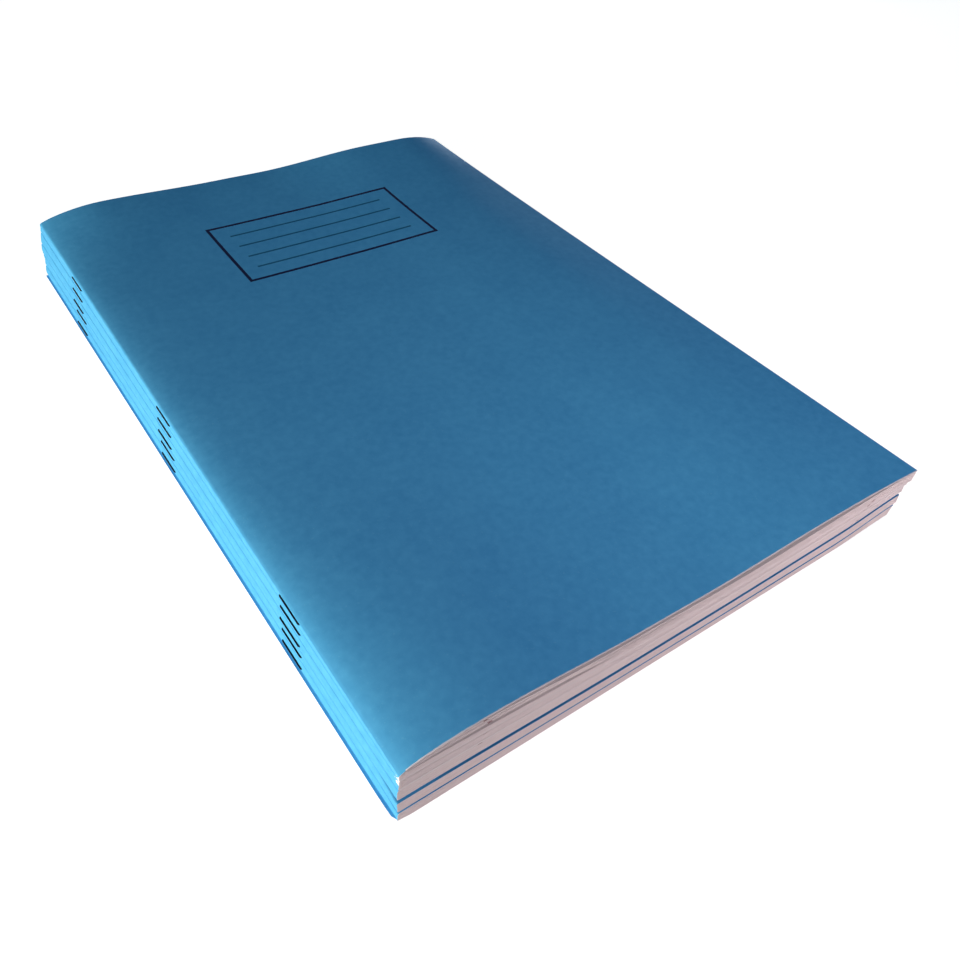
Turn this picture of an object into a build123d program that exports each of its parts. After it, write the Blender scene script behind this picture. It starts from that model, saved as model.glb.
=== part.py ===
# A stack of five A4 exercise books. Each book is twenty folded sheets in a folded card
# cover, held by three wire staples through the fold. Millimetres, +Z up, spine towards -X,
# head of the page towards +Y.
import os

from build123d import *

# Page and paper
PAGE_WIDTH = 210.0
PAGE_HEIGHT = 297.0
SHEETS = 20
PAPER = 0.1
AIR = 0.0125
CENTRE_GAP = 0.03
BUNDLES = 4

# Card cover and its fold
CARD = 0.27
SHOULDER = 1.6
INNER_FOLD = 0.05

# Stitching wire
WIRE = 0.5
WIRE_CLEARANCE = 0.05
WIRE_BEND = 0.45
CROWN = 12.3
CLINCH = 4.6
STAPLES = 3
STAPLE_PITCH = 94.0
STAPLE_OFFSET = 2.5

# How the books lie on each other, top book first: sideways, lengthways and turn
BOOK_GAP = 0.04
SLIDES = (0.0, -0.25, -0.8, -0.6, -1.1)
CREEPS = (0.0, 0.1, -0.02, -0.4, -0.8)
TURNS = (0.0, 0.25, 0.34, 0.37, 0.5)

# Sizes that follow from these
LEAF_PITCH = PAPER + AIR
HALF = CENTRE_GAP + SHEETS * LEAF_PITCH + CARD
BOOK_PITCH = 2 * HALF + BOOK_GAP
SLOT = WIRE / 2 + WIRE_CLEARANCE
CROWN_X = -(WIRE / 2 + AIR)
CLINCH_X = HALF + WIRE / 2
LEG_Y = (CROWN - WIRE) / 2
INNER_START = CLINCH_X + WIRE / 2 + 2 * WIRE_CLEARANCE


def front_layer(depth, thickness):
    """One front leaf or cover panel, its outer face this deep inside the book's outer face.

    The spine is at x = 0 and the middle of the book at z = 0. The layer turns down at the
    spine and stops at the slot that the staple legs pass through. Layers too near the
    middle to turn down start beyond the clinched legs.
    """
    top = HALF - depth
    inner = max(SHOULDER - depth - thickness, INNER_FOLD)
    outer = inner + thickness
    if top - outer > SLOT + WIRE_CLEARANCE:
        with BuildSketch(Plane.XZ) as profile:
            with BuildLine():
                Line((depth, SLOT), (depth, top - outer))
                RadiusArc((depth, top - outer), (depth + outer, top), outer)
                Polyline((depth + outer, top), (PAGE_WIDTH, top), (PAGE_WIDTH, top - thickness),
                         (depth + outer, top - thickness))
                RadiusArc((depth + outer, top - thickness),
                          (depth + thickness, top - outer), -inner)
                Polyline((depth + thickness, top - outer), (depth + thickness, SLOT),
                         (depth, SLOT))
            make_face()
    else:
        with BuildSketch(Plane.XZ) as profile:
            with Locations(((INNER_START + PAGE_WIDTH) / 2, top - thickness / 2)):
                Rectangle(PAGE_WIDTH - INNER_START, thickness)
    return extrude(profile.sketch, PAGE_HEIGHT / 2, both=True).solid()


def leaf(number):
    """A front leaf, numbered from the cover inwards."""
    return front_layer(CARD + AIR + number * LEAF_PITCH, PAPER)


def staple():
    """One staple: crown outside the fold, two legs through it, both clinched inwards."""
    path = FilletPolyline(
        (CLINCH_X, CLINCH - LEG_Y), (CLINCH_X, -LEG_Y), (CROWN_X, -LEG_Y),
        (CROWN_X, LEG_Y), (CLINCH_X, LEG_Y), (CLINCH_X, LEG_Y - CLINCH), radius=WIRE_BEND)
    return sweep(Plane(path @ 0, z_dir=path % 0) * Circle(WIRE / 2), path=path).solid()


def book():
    """The solids of one closed book by piece name, spine at x = 0 and middle at z = 0."""
    leaves = [leaf(number) for number in range(SHEETS)]
    cover = front_layer(0, CARD)
    wire = staple()
    stations = [STAPLE_OFFSET + STAPLE_PITCH * (number - (STAPLES - 1) / 2)
                for number in range(STAPLES)]
    pieces = {"front_cover": [cover], "back_cover": [mirror(cover, Plane.XY)]}
    for bundle in range(BUNDLES):
        first, after = bundle * SHEETS // BUNDLES, (bundle + 1) * SHEETS // BUNDLES
        pieces[f"front_leaves_{bundle + 1}"] = leaves[first:after]
        pieces[f"back_leaves_{bundle + 1}"] = [mirror(sheet, Plane.XY)
                                               for sheet in leaves[first:after]]
    pieces["staples"] = [Pos(0, station, 0) * wire for station in stations]
    return pieces


def book_place(number):
    """Where a book lies in the stack, the top book being number 0."""
    height = HALF + (len(SLIDES) - 1 - number) * BOOK_PITCH
    return (Pos(SLIDES[number] - PAGE_WIDTH / 2, CREEPS[number], height)
            * Rot(0, 0, TURNS[number]))


def stack():
    """All nodes of the stack by name, over the middle of the box that they fill."""
    one_book = book()
    nodes = {}
    for number in range(len(SLIDES)):
        place = book_place(number)
        for name, solids in one_book.items():
            nodes[f"book_{number + 1}_{name}"] = [place * solid for solid in solids]
    box = Compound([solid for solids in nodes.values() for solid in solids]).bounding_box()
    middle = Pos(-box.center().X, -box.center().Y, -box.min.Z)
    return middle, {name: [middle * solid for solid in solids]
                    for name, solids in nodes.items()}


os.makedirs("parts", exist_ok=True)
to_middle, stack_nodes = stack()
for node, node_solids in stack_nodes.items():
    shape = node_solids[0] if len(node_solids) == 1 else Compound(children=node_solids)
    shape.label = node
    export_step(shape, f"parts/{node}.step")
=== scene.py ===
# A neat stack of five stapled exercise books with blue card covers, all alike, spines to the left.
# Book 1 lies on top and opens; every book but the lowest can be lifted off the one below it.
import math

import bpy
import numpy as np
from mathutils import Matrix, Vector


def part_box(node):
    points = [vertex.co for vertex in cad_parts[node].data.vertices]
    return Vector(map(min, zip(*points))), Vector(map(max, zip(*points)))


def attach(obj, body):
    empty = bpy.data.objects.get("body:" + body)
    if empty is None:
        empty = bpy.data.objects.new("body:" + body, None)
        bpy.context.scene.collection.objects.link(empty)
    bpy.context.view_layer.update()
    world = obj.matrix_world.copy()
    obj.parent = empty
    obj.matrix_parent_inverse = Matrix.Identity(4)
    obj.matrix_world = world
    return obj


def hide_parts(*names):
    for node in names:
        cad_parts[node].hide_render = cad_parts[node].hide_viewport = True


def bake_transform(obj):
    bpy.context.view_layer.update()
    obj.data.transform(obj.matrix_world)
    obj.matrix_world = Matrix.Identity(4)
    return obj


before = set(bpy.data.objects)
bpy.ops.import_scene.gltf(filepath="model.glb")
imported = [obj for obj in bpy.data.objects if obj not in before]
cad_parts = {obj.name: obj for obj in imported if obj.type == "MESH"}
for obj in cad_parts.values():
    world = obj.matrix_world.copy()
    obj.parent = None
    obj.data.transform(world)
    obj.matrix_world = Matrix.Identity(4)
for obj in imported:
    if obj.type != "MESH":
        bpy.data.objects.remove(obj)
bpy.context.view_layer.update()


# Writing paper. Twenty sheets are folded once and nested in each book, so a book has forty leaves. They
# are thin and white, trimmed on three sides after folding, and printed with feint lines and a red margin
# whose ink shows on some cut edges. The pile has settled: it is thinner in mid-page than at the folds.
mm = 0.001
books = 5


class BookPlace:
    """Where one book lies, read from its covers."""

    def __init__(self, number):
        front_low, front_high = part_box(f"book_{number}_front_cover")
        back_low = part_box(f"book_{number}_back_cover")[0]
        square_low, square_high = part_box("book_1_front_cover")
        self.number = number
        self.page_width = square_high.x - square_low.x
        self.page_height = square_high.y - square_low.y
        self.half = (front_high.z - back_low.z) / 2
        self.middle = (front_high.z + back_low.z) / 2
        self.turn = (front_high.x - front_low.x - self.page_width) / self.page_height
        centre = (front_low + front_high) / 2
        self.spine_x = centre.x - math.cos(self.turn) * self.page_width / 2
        self.spine_y = centre.y - math.sin(self.turn) * self.page_width / 2

    def points(self, across, along, height):
        """World points from distances off the spine, along the spine and above the table."""
        x = self.spine_x + across * math.cos(self.turn) - along * math.sin(self.turn)
        y = self.spine_y + across * math.sin(self.turn) + along * math.cos(self.turn)
        return np.stack(np.broadcast_arrays(x, y, height), -1)

    def front_share(self, rise):
        """0 at the back cover's outer face and 1 at the front cover's."""
        return (rise + self.half) / (2 * self.half)

    def off_tail(self, along):
        return along + self.page_height / 2

    def spine_at(self, along):
        """Where the spine lies sideways, at a place along it."""
        return self.spine_x - along * math.sin(self.turn)


places = [BookPlace(number + 1) for number in range(books)]


def smooth(value):
    """0 below 0, 1 above 1 and an S-curve between."""
    held = np.clip(value, 0, 1)
    return held * held * (3 - 2 * held)


# Hollow of the pile, by distance off the spine, and how much thinner it makes the lower and upper part
hollow_full = 85 * mm
hollow_end = 115 * mm
hollow_fading = 90 * mm
hollow_lost = 0.86
hollow_share = 0.2
hollow_share_above = 0.12
lower_part = 10.28 * mm

# Gaps over books along the tail and at its fore-edge corner: how far a front and back cover sink, where
# off the spine the corner starts and how far it sinks, and how far in from the tail a gap reaches
tail_sinks = {4: (2.05 * mm, 0.45 * mm), 5: (0.8 * mm, 0)}
corner_sinks = {2: (170 * mm, 0.35 * mm), 5: (40 * mm, 1.2 * mm)}
corner_end = 200 * mm
sunk_at_fold = 10 * mm
sunk_beyond = 20 * mm
sunk_growth = 25 * mm

# Tips of the tail corners at the fore-edge: how far a front and back cover curl up there
corner_curls = {2: (0.5 * mm, 1.6 * mm), 3: (1.6 * mm, 2.7 * mm),
                4: (2.7 * mm, 3.15 * mm), 5: (3.15 * mm, 1.9 * mm)}
tip_start = 178 * mm
tip_width = 32 * mm
tip_length = 120 * mm

# Tail end of the lowest fold, which is bent up
bent_corner = 0.9 * mm
bent_reach = 3 * mm
bent_length = 9 * mm


def settled(place, across, along, rise):
    """Height above the table of a point that is `rise` over the book's middle before it settles.

    The whole pile is hollow in mid-page. The lower books are pressed thinner along the tail, so a
    dark gap opens over them there, and their tail corners at the fore-edge curl up a little. The lowest
    book's fold is bent up at its tail end.
    """
    hollow = smooth(across / hollow_full)
    hollow = hollow * (1 - hollow_lost * smooth((across - hollow_end) / hollow_fading))
    share = place.front_share(rise)
    sunk_reach = sunk_at_fold + sunk_beyond * smooth(across / sunk_growth)
    at_tail = 1 - smooth(place.off_tail(along) / sunk_reach)
    top_sink, bottom_sink = tail_sinks.get(place.number, (0, 0))
    corner_start, corner_sink = corner_sinks.get(place.number, (0, 0))
    at_corner = smooth((across - corner_start) / (corner_end - corner_start))
    sink = at_tail * ((top_sink + corner_sink * at_corner) * share + bottom_sink * (1 - share))
    top_curl, bottom_curl = corner_curls.get(place.number, (0, 0))
    at_tip = smooth((across - tip_start) / tip_width) * (1 - smooth(place.off_tail(along) / tip_length))
    curl = at_tip * (top_curl * share + bottom_curl * (1 - share))
    low = np.minimum(place.middle + rise, lower_part)
    high = place.middle + rise - low
    height = low * (1 - hollow_share * hollow) + high * (1 - hollow_share_above * hollow) - sink + curl
    if place.number == books:
        bent = bent_corner * (1 - share) * np.exp(-(across / bent_reach) ** 2)
        height = height + bent * (1 - smooth(place.off_tail(along) / bent_length))
    return height


# Lean of the trimmed tail at a front and back cover
leans = {3: (0.15 * mm, 0), 4: (0.4 * mm, -0.2 * mm), 5: (-0.05 * mm, -0.3 * mm)}


def leaning(place, along, rise):
    """Places along the spine once the book has slid in itself, so that its trimmed tail leans."""
    share = place.front_share(rise)
    top_lean, bottom_lean = leans.get(place.number, (0, 0))
    return along + top_lean * share + bottom_lean * (1 - share)


# Creep of the leaves at the tail corner of the fore-edge, at each book's face from the top of the pile
# down to the table
creeps = [creep * mm for creep in (0.8, 1.4, 2.2, 3.1, 2.4, 1.3)]
creep_start = 120 * mm
creep_width = 90 * mm
creep_length = 200 * mm

# Folds: how far in they are pushed flush, and the lowest one's foot on the table with the undercut over it
flush_reach = 8 * mm
foot_reach = 1.6 * mm
foot_height = 0.06 * mm
foot_depth = 4 * mm
foot_end = 2 * mm
undercut = 0.55 * mm
undercut_height = 0.6 * mm


def spreading(place, across, along, rise):
    """Distances off the spine in the pile.

    The leaves have crept out at the tail corner of the fore-edge. Each fold is pushed flush with the
    folds above and below it, halfway at the faces where they touch. The lowest fold is flattened out
    on the table and drawn in just above it.
    """
    share = place.front_share(rise)
    top_creep, bottom_creep = creeps[place.number - 1:place.number + 1]
    at_tip = smooth((across - creep_start) / creep_width)
    at_tip = at_tip * (1 - smooth(place.off_tail(along) / creep_length))
    above = places[max(place.number - 2, 0)].spine_at(along) - place.spine_at(along)
    below = places[min(place.number, books - 1)].spine_at(along) - place.spine_at(along)
    push = above * np.clip(share - 0.5, 0, 1) + below * np.clip(0.5 - share, 0, 1)
    push = push * np.exp(-across / flush_reach)
    if place.number == books:
        off_table = rise + place.half
        foot = foot_reach * np.exp(-off_table / foot_height - across / foot_depth)
        drawn_in = undercut * np.exp(-off_table / undercut_height - across / foot_depth)
        push = push + (drawn_in - foot) * smooth(place.off_tail(along) / foot_end)
    return across + push + at_tip * (top_creep * share + bottom_creep * (1 - share))


# Press beside the fold of the top book
pressed_at_head = 1.0 * mm
pressed_more_at_tail = 1.3 * mm
pressed_width = 4.6 * mm
pressed_length = 200 * mm


def pressed(place, across, along, rise):
    """How far the front of the top book is pressed down beside its fold, most at the tail."""
    at_tail = 1 - smooth(place.off_tail(along) / pressed_length)
    beside_fold = np.exp(-across / pressed_width)
    depth = pressed_at_head + pressed_more_at_tail * at_tail
    return depth * beside_fold * np.clip(rise / place.half, 0, 1)


# Fold of a sheet: its tightest bend, the points on the bend and where the spine's straight run has points
tightest_fold = 0.08 * mm
bend_points = 7
spine_shares = (0.66, 0.33)


def folded_profile(place, depth, thickness, shoulders, steps):
    """Outer and inner lines (off the spine, off mid-height) of a sheet folded round the book's middle.

    depth is how far its outer face lies under the cover's, shoulders the cover's rounding at the front
    and back of the spine, and steps the distances off the spine that the flat stretches pass through.
    """
    top = place.half - depth
    lines = []
    for inset in (0, thickness):
        halves = []
        for shoulder in shoulders:
            radius = min(max(shoulder - depth, thickness + tightest_fold), top)
            bend = [(depth + radius - (radius - inset) * math.sin(angle),
                     top - radius + (radius - inset) * math.cos(angle))
                    for angle in np.linspace(0, math.pi / 2, bend_points)]
            straight = [(depth + inset, (top - radius) * share) for share in spine_shares]
            flat = [(step, top - inset) for step in steps if step > depth + max(shoulders)]
            halves.append(np.array(flat + bend + straight))
        lines.append(np.vstack([halves[0], [[depth + inset, 0]], halves[1][::-1] * (1, -1)]))
    return lines


class SheetMesh:
    """Collects thin closed sheets, each swept along the spine, into one mesh with print coordinates.

    The coordinates are metres across and along the page. On cut edges the first one starts at edge_mark,
    or is plain_edge past it at the fore-edge, and the second is the sheet's own edge print.
    """

    edge_mark = 3.0
    plain_edge = 0.5
    sharp_edge = math.radians(50)

    def __init__(self):
        self.points = []
        self.faces = []
        self.prints = []
        self.count = 0

    def add(self, outer, inner, outer_print, inner_print, along, edge_print):
        """outer and inner are (line, station, 3) world points; prints are the coordinates across the page."""
        lines, stations = outer.shape[:2]
        index = self.count + np.arange(2 * lines * stations).reshape(2, lines, stations)
        self.points.append(np.concatenate([outer.reshape(-1, 3), inner.reshape(-1, 3)]))
        self.count += 2 * lines * stations
        for side, across in ((0, outer_print), (1, inner_print)):
            grid = index[side]
            quads = np.stack([grid[:-1, :-1], grid[:-1, 1:], grid[1:, 1:], grid[1:, :-1]], -1)
            u = np.broadcast_to(across[:, None], (lines, stations))
            v = np.broadcast_to(along[None, :], (lines, stations))
            uv = np.stack([u, v], -1)
            marks = np.stack([uv[:-1, :-1], uv[:-1, 1:], uv[1:, 1:], uv[1:, :-1]], -2)
            if side:
                quads, marks = quads[..., ::-1], marks[..., ::-1, :]
            self.faces.append(quads.reshape(-1, 4))
            self.prints.append(marks.reshape(-1, 4, 2))
        plain = np.full(stations, self.plain_edge)
        self._edge(index[:, 0, :][::-1], plain, edge_print)
        self._edge(index[:, -1, :], plain, edge_print)
        self._edge(index[:, :, 0], outer_print, edge_print)
        self._edge(index[:, :, -1][::-1], outer_print, edge_print)

    def _edge(self, pair, run, edge_print):
        first, second = pair
        quads = np.stack([first[:-1], first[1:], second[1:], second[:-1]], -1)
        u = self.edge_mark + run
        u = np.stack([u[:-1], u[1:], u[1:], u[:-1]], -1)
        self.faces.append(quads)
        self.prints.append(np.stack([u, np.full_like(u, edge_print)], -1))

    def object(self, name, material):
        mesh = bpy.data.meshes.new(name)
        faces = np.concatenate(self.faces)
        mesh.from_pydata(np.concatenate(self.points).tolist(), [], faces.tolist())
        layer = mesh.uv_layers.new(name="print")
        layer.data.foreach_set("uv", np.concatenate(self.prints).reshape(-1).astype(np.float32))
        mesh.polygons.foreach_set("use_smooth", np.ones(len(faces), bool))
        mesh.set_sharp_from_angle(angle=self.sharp_edge)
        mesh.materials.append(material)
        made = bpy.data.objects.new(name, mesh)
        bpy.context.scene.collection.objects.link(made)
        return made


class Shade:
    """A value in a material's nodes. Python's operators on it add Math nodes."""

    def __init__(self, tree, socket=None):
        self.tree = tree
        self.socket = socket

    def node(self, kind, settings=None, sockets=None, output=0):
        made = self.tree.nodes.new(kind)
        for name, value in (settings or {}).items():
            setattr(made, name, value)
        for name, value in (sockets or {}).items():
            if isinstance(value, Shade):
                self.tree.links.new(value.socket, made.inputs[name])
            else:
                made.inputs[name].default_value = value
        return Shade(self.tree, made.outputs[output])

    def math(self, operation, *values):
        return self.node("ShaderNodeMath", {"operation": operation}, dict(enumerate(values)))

    def __add__(self, other):
        return self.math("ADD", self, other)

    __radd__ = __add__

    def __sub__(self, other):
        return self.math("SUBTRACT", self, other)

    def __rsub__(self, other):
        return self.math("SUBTRACT", other, self)

    def __mul__(self, other):
        return self.math("MULTIPLY", self, other)

    __rmul__ = __mul__

    def __truediv__(self, other):
        return self.math("DIVIDE", self, other)

    def __rtruediv__(self, other):
        return self.math("DIVIDE", other, self)

    def __abs__(self):
        return self.math("ABSOLUTE", self)

    def below(self, edge):
        return self.math("LESS_THAN", self, edge)

    def above(self, edge):
        return self.math("GREATER_THAN", self, edge)

    def larger(self, other):
        return self.math("MAXIMUM", self, other)

    def nearest(self):
        return self.math("ROUND", self)

    def mix(self, low, high):
        """A colour between low and high, this value being the share of high."""
        return self.node("ShaderNodeMix", {"data_type": "RGBA"}, {0: self, 6: low, 7: high}, 2)


class Finish:
    """A material with one Principled shader, and the print coordinates that its patterns use."""

    def __init__(self, name):
        self.material = bpy.data.materials.new(name)
        self.material.use_nodes = True
        self.tree = self.material.node_tree
        self.shader = self.tree.nodes["Principled BSDF"]
        self.start = Shade(self.tree)

    def print_place(self):
        mark = self.start.node("ShaderNodeUVMap", {"uv_map": "print"})
        across = self.start.node("ShaderNodeSeparateXYZ", {}, {0: mark}, 0)
        along = self.start.node("ShaderNodeSeparateXYZ", {}, {0: mark}, 1)
        return mark, across, along

    def object_place(self):
        return self.start.node("ShaderNodeTexCoord", {}, {}, "Object")

    def noise(self, scale, detail, stretch=(1, 1, 1), place=None):
        if place is None:
            place = self.object_place()
        place = self.start.node("ShaderNodeVectorMath", {"operation": "MULTIPLY"}, {0: place, 1: stretch})
        return self.start.node("ShaderNodeTexNoise", {}, {"Vector": place, "Scale": scale, "Detail": detail})

    def bump(self, height, strength, distance):
        return self.start.node("ShaderNodeBump", {}, {"Height": height, "Strength": strength,
                                                      "Distance": distance})

    def set(self, **sockets):
        for name, value in sockets.items():
            socket = self.shader.inputs[name.replace("_", " ")]
            if isinstance(value, Shade):
                self.tree.links.new(value.socket, socket)
            else:
                socket.default_value = value
        return self.material


line_pitch = 8 * mm
line_spaces = 32
first_line = 18 * mm
last_line = first_line + line_spaces * line_pitch
line_width = 0.28 * mm
margin = 25 * mm
margin_width = 0.4 * mm
margin_stop = 0.6 * mm
margin_ink_spread = 1.4 * mm

# Sheets of a book whose margin ink shows on the cut edge, and the edge prints that tell them apart
inked_leaves = {1: (0, 1, 2, 3, 4, 13, 14, 15, 16, 17, 18, 19), 2: (6, 7, 8, 9), 3: (2, 3)}
inked_print = 1.0
most_streak_print = 0.8

paper_white = (0.84, 0.775, 0.80, 1)
# A darker paper, for the fibres' own grain and for painted shade between the leaves on the cut edges.
paper_grain_and_edge_shade = (0.68, 0.615, 0.645, 1)
feint_blue = (0.36, 0.52, 0.70, 1)
margin_red = (0.42, 0.05, 0.11, 1)
edge_red = (0.12, 0.0, 0.015, 1)
fibre_shade = 0.3
streak_shade = 0.65

writing_paper = Finish("writing_paper")
mark, across, along = writing_paper.print_place()
on_edge = across.above(SheetMesh.edge_mark - 1)
on_page = 1 - on_edge
row = (along - first_line) / line_pitch
feint = (abs(row - row.nearest()) * line_pitch).below(line_width / 2)
feint = feint * along.above(first_line - line_width) * along.below(last_line + line_width) * on_page
ruled_margin = abs(across - margin).below(margin_width / 2) * on_page
ruled_margin = ruled_margin * along.above(margin_stop) * along.below(places[0].page_height - margin_stop)
inked_edge = abs(across - SheetMesh.edge_mark - margin).below(margin_ink_spread / 2)
inked_edge = inked_edge * along.above((most_streak_print + inked_print) / 2)
fibre = writing_paper.noise(scale=900, detail=3)
# On the cut edges each leaf is darkened by its own amount, varying along the edge: partly the leaf's own
# tone, partly painted shade standing in for the shade between leaves.
edge_tone_and_shade = writing_paper.noise(scale=60, detail=2, stretch=(1, 9, 1), place=mark)
paper_colour = (fibre * fibre_shade + edge_tone_and_shade * on_edge * streak_shade).mix(paper_white, paper_grain_and_edge_shade)
paper_colour = feint.mix(paper_colour, feint_blue)
paper_colour = ruled_margin.mix(paper_colour, margin_red)
paper_colour = inked_edge.mix(paper_colour, edge_red)
paper_finish = writing_paper.set(Base_Color=paper_colour, Roughness=0.85, Specular_IOR_Level=0.2,
                                 Normal=writing_paper.bump(fibre, strength=0.12, distance=0.05 * mm))

bundles = 4
sheets_in_bundle = 5
sheets = bundles * sheets_in_bundle
paper_thickness = 0.1 * mm
card_thickness = 0.27 * mm
air = 0.0125 * mm
leaf_pitch = paper_thickness + air
first_leaf_depth = card_thickness + air

# Lines of the paper's mesh: steps off the spine, and stations off the tail
page_steps = [210, 206, 200, 193, 185, 176, 166, 155, 140, 124, 108, 96, 86, 77, 69, 61, 53, 45, 37, 30, 24,
              18, 13, 9, 6.5, 5, 3.5]
page_steps = [step * mm for step in page_steps]
page_stations = [step * mm for step in (0, 2, 5, 11, 18, 26, 36, 90, 150, 210, 262, 297)]

# Rounding of the fold at the front and back of the spine
shoulders = {1: (0.9 * mm, 0.7 * mm), 5: (0.7 * mm, 0.3 * mm)}
inner_shoulders = (0.7 * mm, 0.7 * mm)

# Unevenness of the trimmed edges
trim = 0.1 * mm
fore_setback = 0.15 * mm
uneven_trim = np.random.default_rng(11)

# Spring of the top book's front leaves beside the fold, by distance off the spine
spring_run = 28 * mm
inmost_spring = 1.5 * mm
inmost_end = 52 * mm
inmost_fading = 22 * mm
outmost_spring = 2.2 * mm
outmost_fall = 1.0 * mm
outmost_fall_run = 32 * mm
outmost_end = 85 * mm
outmost_fading = 30 * mm
spring_lost = 0.85
tail_form_start = -148 * mm
tail_form_length = 110 * mm


def past_tail(along):
    """0 at the tail, where the top book's own form is strongest, rising to 1 towards mid-page."""
    return smooth((along - tail_form_start) / tail_form_length)


def sprung(across, along, share):
    """How far the front leaves of the top book spring up beside the fold, from inmost (0) to outmost (1)."""
    spring = np.sin(np.clip(across / spring_run, 0, 1) * math.pi / 2)
    inmost = inmost_spring * spring * (1 - smooth((across - inmost_end) / inmost_fading))
    outmost = outmost_spring * spring - outmost_fall * smooth((across - spring_run) / outmost_fall_run)
    outmost = outmost * (1 - smooth((across - outmost_end) / outmost_fading))
    return (inmost * (1 - share) + outmost * share) * (1 - spring_lost * past_tail(along))


def add_sheet(mesh, place, number, keep):
    """Adds the part of folded sheet `number`, counted from the cover, that keep picks from its profile."""
    depth = first_leaf_depth + number * leaf_pitch
    rounding = shoulders.get(place.number, inner_shoulders)
    outer, inner = folded_profile(place, depth, paper_thickness, rounding, page_steps)
    tail = uneven_trim.uniform(0, trim)
    head = uneven_trim.uniform(0, trim)
    fore = fore_setback + uneven_trim.uniform(0, trim)
    streak = uneven_trim.uniform(0, most_streak_print)
    chosen = keep(outer)
    outer, inner = outer[chosen], inner[chosen]
    along = np.clip(page_stations, tail, place.page_height - head)
    off_middle = (along - place.page_height / 2)[None, :]
    faces = []
    for line in (outer, inner):
        off_spine = np.minimum(line[:, 0], place.page_width - fore)[:, None]
        rise = line[:, 1][:, None]
        height = settled(place, off_spine, off_middle, rise)
        if place.number == 1:
            height = height + sprung(off_spine, off_middle, 1 - number / (sheets - 1)) * (rise > 0)
            height = height - pressed(place, off_spine, off_middle, rise)
        off_spine = spreading(place, off_spine, off_middle, rise)
        faces.append(place.points(off_spine, leaning(place, off_middle, rise), height))
    off_fold = outer[:, 0] - depth
    front = outer[:, 1] > 0
    outer_print = np.where(front, off_fold, place.page_width - off_fold)
    inner_print = np.where(front, place.page_width - off_fold, off_fold)
    inked = number in inked_leaves.get(place.number, ())
    mesh.add(faces[0], faces[1], outer_print, inner_print, along, inked_print if inked else streak)


# Parts of a sheet's profile: the top book's sheets bend in the fold, between a front and a back leaf
fold_reach = 5 * mm
fold_overlap = 0.1 * mm


def whole_sheet(line):
    return line[:, 0] > 0


def front_leaf(line):
    return (line[:, 0] > fold_reach - fold_overlap) & (line[:, 1] > 0)


def back_leaf(line):
    return (line[:, 0] > fold_reach - fold_overlap) & (line[:, 1] < 0)


def fold_of_sheet(line):
    return line[:, 0] < fold_reach + fold_overlap


for place in places:
    book = f"book_{place.number}"
    for bundle in range(bundles):
        front_node = f"{book}_front_leaves_{bundle + 1}"
        back_node = f"{book}_back_leaves_{bundle + 1}"
        numbers = range(bundle * sheets_in_bundle, (bundle + 1) * sheets_in_bundle)
        if place.number > 1:
            whole = SheetMesh()
            for number in numbers:
                add_sheet(whole, place, number, whole_sheet)
            piece = whole.object(f"{book}_sheets_{bundle + 1}", paper_finish)
            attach(piece, book)
            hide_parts(front_node, back_node)
            continue
        fronts, backs, folds = SheetMesh(), SheetMesh(), SheetMesh()
        for number in numbers:
            draws = uneven_trim.bit_generator.state
            add_sheet(fronts, place, number, front_leaf)
            uneven_trim.bit_generator.state = draws
            add_sheet(backs, place, number, back_leaf)
            uneven_trim.bit_generator.state = draws
            add_sheet(folds, place, number, fold_of_sheet)
        front = fronts.object(f"{book}_front_leaves_of_bundle_{bundle + 1}", paper_finish)
        back = backs.object(f"{book}_back_leaves_of_bundle_{bundle + 1}", paper_finish)
        fold = folds.object(f"{book}_folds_of_bundle_{bundle + 1}", paper_finish)
        leaves = f"{book}_leaves_{bundle + 1}"
        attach(front, leaves)
        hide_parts(front_node)
        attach(back, book)
        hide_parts(back_node)
        middle = place.points(0, 0, place.middle)
        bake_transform(fold)


# Cover. One piece of white-cored card, coated blue outside, is scored and folded round the sheets, so
# front, spine and back are one. The cut edges and a rubbed corner show the core. An empty name panel is
# printed on the front. The top cover has relaxed into shallow waves and stands off the leaves under it.
cover_steps = [210, 208.5, 206.5, 204, 201, 197.5, 193.5, 189, 184, 178, 172, 166, 160, 153, 146, 139, 132,
               125, 118, 111, 104, 97, 90, 83, 76, 69, 62, 55, 49, 43, 38, 33, 28, 24, 20, 16, 13, 10.5,
               8.5, 6.8, 5.4, 4.2, 3.2, 2.6]
cover_steps = [step * mm for step in cover_steps]
top_cover_stations = 47
inside_print = 1
panel_left = 61.4 * mm
panel_right = 153.2 * mm
panel_low = 211.2 * mm
panel_high = 256.7 * mm
panel_line = 1.45 * mm
rule_left = 68.5 * mm
rule_right = 145.3 * mm
rule_low = 220.2 * mm
rule_pitch = 9.23 * mm
rules = 4
rule_line = 1.1 * mm
rubbed_spot = places[0].points(0.3 * mm, -places[0].page_height / 2, 19.8 * mm)
rubbed_reach = 1.9 * mm
rubbed_share = 0.7
rubbed_raggedness = 4
frayed_edge = 0.26 * mm
frayed_share = 0.6
card_blue = (0.068, 0.345, 0.69, 1)
card_blue_deep = (0.048, 0.280, 0.605, 1)
card_speck = (0.12, 0.42, 0.70, 1)
card_core = (0.76, 0.74, 0.78, 1)
panel_ink = (0.002, 0.008, 0.045, 1)
rule_ink = (0.010, 0.11, 0.24, 1)
pulp_shade = 1.5
cloud_shade = 0.8
plain_shade = 0.65
speck_level = 0.72
speck_share = 0.3
card_roughness = 0.56
pulp_roughness = 0.12

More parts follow.
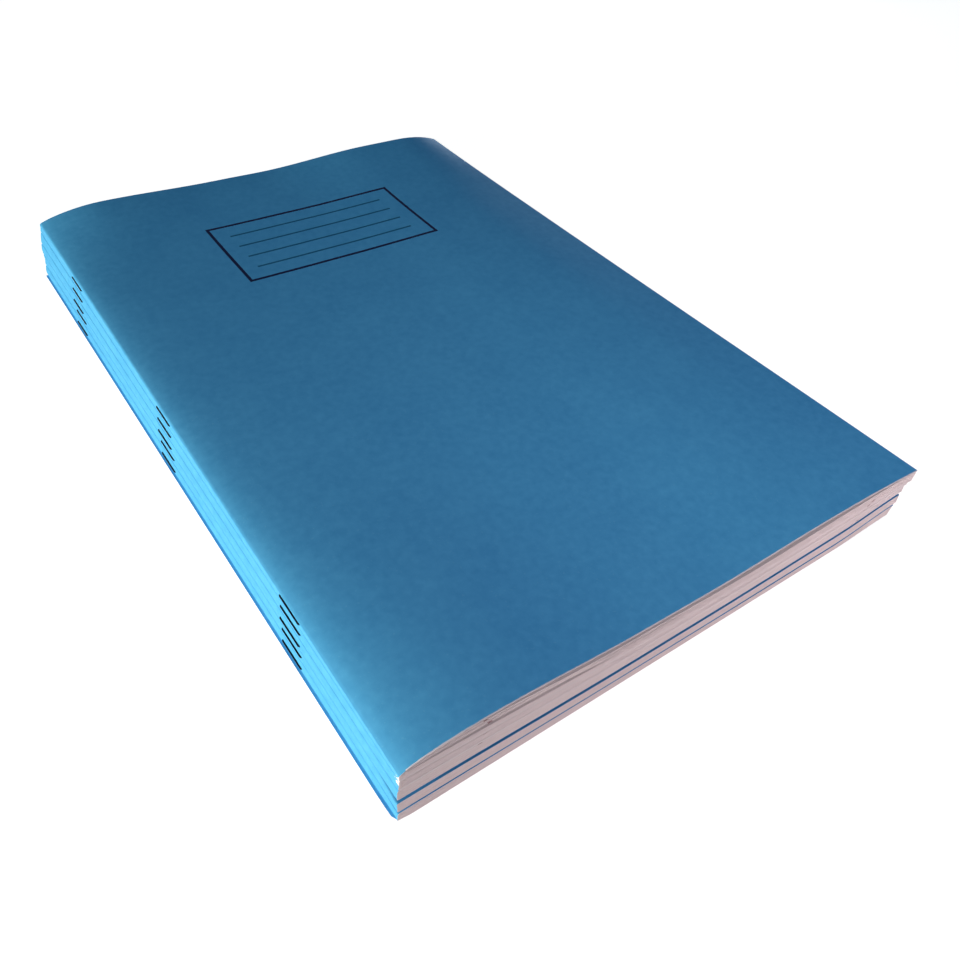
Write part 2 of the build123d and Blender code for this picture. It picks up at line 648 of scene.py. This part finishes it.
blue_card = Finish("blue_card")
mark, across, along = blue_card.print_place()
middle_across = (panel_left + panel_right) / 2
middle_along = (panel_low + panel_high) / 2
off_side = abs(across - middle_across) - (panel_right - panel_left) / 2
off_end = abs(along - middle_along) - (panel_high - panel_low) / 2
frame_line = abs(off_side.larger(off_end)).below(panel_line / 2)
rule = (along - rule_low) / rule_pitch
ruled = (abs(rule - rule.nearest()) * rule_pitch).below(rule_line / 2)
ruled = ruled * rule.above(-0.5) * rule.below(rules - 0.5)
ruled = ruled * across.above(rule_left) * across.below(rule_right)
pulp = blue_card.noise(scale=360, detail=6)
cloud = blue_card.noise(scale=42, detail=3)
speck = blue_card.noise(scale=1500, detail=1).above(speck_level)
nick = blue_card.noise(scale=900, detail=3)
card_place = blue_card.object_place()
off_spot = blue_card.start.node("ShaderNodeVectorMath", {"operation": "DISTANCE"},
                                {0: card_place, 1: tuple(rubbed_spot)}, 1)
rubbed = (off_spot / rubbed_reach + (0.5 - nick) * rubbed_raggedness).below(rubbed_share)
card_height = blue_card.start.node("ShaderNodeSeparateXYZ", {}, {0: card_place}, 2)
on_top = across.above(rubbed_reach) * card_height.above(places[0].middle)
frayed = (along / frayed_edge + (0.5 - nick)).below(1) * on_top
bare = across.above(inside_print / 2).larger(rubbed).larger(frayed * frayed_share)
card_colour = (pulp * pulp_shade + cloud * cloud_shade - plain_shade).mix(card_blue, card_blue_deep)
card_colour = (speck * speck_share).mix(card_colour, card_speck)
card_colour = ruled.mix(card_colour, rule_ink)
card_colour = frame_line.mix(card_colour, panel_ink)
card_colour = bare.mix(card_colour, card_core)
card_finish = blue_card.set(Base_Color=card_colour, Roughness=pulp * pulp_roughness + card_roughness,
                            Specular_IOR_Level=0.03,
                            Normal=blue_card.bump(pulp, strength=0.12, distance=0.06 * mm))

# Waves of the top front cover: their heights at these distances off the spine, the curl that lifts the
# head, and the fall towards the fore-edge
wave_places = [distance * mm for distance in (28, 84, 108, 165)]
wave_at_tail = [height * mm for height in (2.1, -0.8, -1.1, 1.05)]
wave_at_middle = [height * mm for height in (0.3, 0.1, 0.2, 0.95)]
wave_at_head = [height * mm for height in (3.6, 2.1, 1.8, 4.2)]
head_curl_start = 78 * mm
head_curl_length = 70 * mm
fore_start = 183 * mm
fore_width = 27 * mm
fore_fall = 1.5 * mm
fore_fall_more_at_head = 2.7 * mm
fore_roundness = 1.4
fore_roundness_more_at_head = 1.1


def waves(across, along):
    """How far the top front cover stands off its flat place, in waves that rise to the head."""
    curl = np.clip((along - head_curl_start) / head_curl_length, 0, 1) ** 2
    heights = [tail + (middle - tail) * past_tail(along) + (head - middle) * curl
               for tail, middle, head in zip(wave_at_tail, wave_at_middle, wave_at_head)]
    height = heights[0] * np.sin(np.clip(across / wave_places[0], 0, 1) * math.pi / 2)
    for number in range(1, len(wave_places)):
        step = (across - wave_places[number - 1]) / (wave_places[number] - wave_places[number - 1])
        height = height + (heights[number] - heights[number - 1]) * smooth(step)
    roundness = fore_roundness + fore_roundness_more_at_head * curl
    at_fore = np.clip((across - fore_start) / fore_width, 0, 1) ** roundness
    return height - (fore_fall + fore_fall_more_at_head * curl) * at_fore


for place in places:
    book = f"book_{place.number}"
    rounding = shoulders.get(place.number, inner_shoulders)
    outer, inner = folded_profile(place, 0, card_thickness, rounding, cover_steps)
    along = np.array(page_stations)
    if place.number == 1:
        along = np.linspace(0, place.page_height, top_cover_stations)
    off_middle = (along - place.page_height / 2)[None, :]
    faces = []
    for line in (outer, inner):
        off_spine = line[:, 0][:, None]
        rise = line[:, 1][:, None]
        height = settled(place, off_spine, off_middle, rise)
        if place.number == 1:
            relaxed = place.middle + rise + waves(off_spine, off_middle)
            relaxed = relaxed - pressed(place, off_spine, off_middle, rise)
            height = np.where(rise > 0, relaxed, height)
        off_spine = spreading(place, off_spine, off_middle, rise)
        faces.append(place.points(off_spine, leaning(place, off_middle, rise), height))
    runs = np.hypot(*np.diff(outer, axis=0).T)
    printed = place.page_width - np.concatenate([[0], np.cumsum(runs)])
    card = SheetMesh()
    card.add(faces[0], faces[1], printed, inside_print + printed, along, 0)
    cover = card.object(f"{book}_cover", card_finish)
    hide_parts(f"{book}_front_cover", f"{book}_back_cover")
    if place.number > 1:
        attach(cover, book)
    else:
        middle = place.points(0, 0, place.middle)
        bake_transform(cover)


# Staples. Three wire staples go through the fold of each book from outside, and their legs are clinched
# flat at its middle. The wire is thin drawn steel, dull and dark.
wire_dark = (0.001, 0.004, 0.010, 1)
wire_worn = (0.006, 0.012, 0.022, 1)
wire_roughness = 0.38
wire_wear = 0.2
staple_wire = Finish("staple_wire")
drawn = staple_wire.noise(scale=800, detail=2)
wire_finish = staple_wire.set(Base_Color=drawn.mix(wire_dark, wire_worn), Metallic=1.0,
                              Roughness=drawn * wire_wear + wire_roughness)
for place in places:
    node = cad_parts[f"book_{place.number}_staples"]
    node.data.materials.clear()
    node.data.materials.append(wire_finish)


# Floor. A plain pale table top, wide enough to fill every view. It is white to the camera and to
# reflections, and still takes the stack's shadow.
floor_reach = 6.0
floor_drop = 0.02 * mm
floor_grey = (0.6, 0.6, 0.6, 1)
floor_glow = 0.88
white = (1, 1, 1, 1)
floor_mesh = bpy.data.meshes.new("floor")
floor_mesh.from_pydata([(x * floor_reach, y * floor_reach, -floor_drop)
                        for x, y in ((-1, -1), (1, -1), (1, 1), (-1, 1))], [], [(0, 1, 2, 3)])
floor = bpy.data.objects.new("floor", floor_mesh)
bpy.context.scene.collection.objects.link(floor)
table = Finish("pale_table")
table.set(Base_Color=floor_grey, Roughness=0.9, Specular_IOR_Level=0.1)


def seen_directly(start):
    """1 for rays from the camera, a mirror or through glass, and 0 for the light that falls on things."""
    camera_ray = start.node("ShaderNodeLightPath", {}, {}, "Is Camera Ray")
    glossy_ray = start.node("ShaderNodeLightPath", {}, {}, "Is Glossy Ray")
    glass_ray = start.node("ShaderNodeLightPath", {}, {}, "Is Transmission Ray")
    return camera_ray.larger(glossy_ray).larger(glass_ray)


glow = table.start.node("ShaderNodeEmission", {}, {"Color": white,
                                                   "Strength": seen_directly(table.start) * floor_glow})
lit = Shade(table.tree, table.shader.outputs[0])
both = table.start.node("ShaderNodeAddShader", {}, {0: lit, 1: glow})
table.tree.links.new(both.socket, table.tree.nodes["Material Output"].inputs["Surface"])
floor_mesh.materials.append(table.material)


# Light. Plain soft studio light: a warm lamp low on the spine's side, a weak one in front of the tail, a
# weak one low behind the stack, a soft spot high over the tail, and even light from all round. The world
# looks white to the camera.
room_light = 0.15
room_tint = (0.56, 0.84, 1.0, 1)
world = bpy.data.worlds.new("studio")
bpy.context.scene.world = world
world.use_nodes = True
room = Shade(world.node_tree)
background = world.node_tree.nodes["Background"]
room_colour = seen_directly(room).mix(room_tint, white)
room_strength = seen_directly(room) * (1 - room_light) + room_light
world.node_tree.links.new(room_colour.socket, background.inputs["Color"])
world.node_tree.links.new(room_strength.socket, background.inputs["Strength"])


def hang(name, light, place, target, power, colour):
    """Puts a lamp in its place, aims it and keeps it out of the picture."""
    light.energy = power
    light.color = colour
    made = bpy.data.objects.new(name, light)
    bpy.context.scene.collection.objects.link(made)
    made.location = place
    made.rotation_euler = (Vector(target) - Vector(place)).to_track_quat("-Z", "Y").to_euler()
    made.visible_camera = False


def panel_lamp(name, place, target, size, power, colour):
    light = bpy.data.lights.new(name, "AREA")
    light.shape = "RECTANGLE"
    light.size, light.size_y = size
    hang(name, light, place, target, power, colour)


panel_lamp("spine_lamp", place=(-0.90, -0.10, 0.05), target=(0.0, 0.0, 0.02), size=(0.1, 0.25),
           power=21.5, colour=(1.0, 0.81, 0.60))
panel_lamp("tail_lamp", place=(0.22, -0.50, 0.13), target=(0.02, -0.15, 0.012), size=(0.3, 0.05),
           power=1.27, colour=(1.0, 0.84, 0.81))
panel_lamp("back_lamp", place=(0.50, 0.55, 0.02), target=(0.0, 0.0, 0.02), size=(0.4, 0.03),
           power=1.9, colour=(1.0, 0.95, 0.92))

spot_height = 4.0
spot_reach = 0.29
spot = bpy.data.lights.new("top_spot", "SPOT")
spot.spot_size = 2 * math.atan(spot_reach / spot_height)
spot.spot_blend = 1.0
spot.shadow_soft_size = 0.2
hang("top_spot", spot, place=(-0.01, -0.11, spot_height), target=(-0.01, -0.16, 0.02),
     power=222, colour=(1.0, 0.66, 0.63))


# Camera. It stands at the photograph's viewing angle, close to the near corner of the top book's spine.
# Its shift is only as large as the photograph's framing needs.
image_side = 960
focal_pixels = 858.6
centre_pixel = (414.1, 459.7)
camera_off_spine = -60.25 * mm
camera_off_middle = -225.07 * mm
camera_height = 218.84 * mm
camera_angles = (46.645, -3.648, -32.997)
view = bpy.data.cameras.new("camera")
camera = bpy.data.objects.new("camera", view)
bpy.context.scene.collection.objects.link(camera)
camera.location = (places[0].spine_x + camera_off_spine, places[0].spine_y + camera_off_middle,
                   camera_height)
camera.rotation_euler = [math.radians(angle) for angle in camera_angles]
view.sensor_width = 36
view.lens = focal_pixels * view.sensor_width / image_side
view.shift_x = (image_side / 2 - centre_pixel[0]) / image_side
view.shift_y = (centre_pixel[1] - image_side / 2) / image_side
bpy.context.scene.camera = camera
bpy.context.scene.view_settings.view_transform = "Standard"
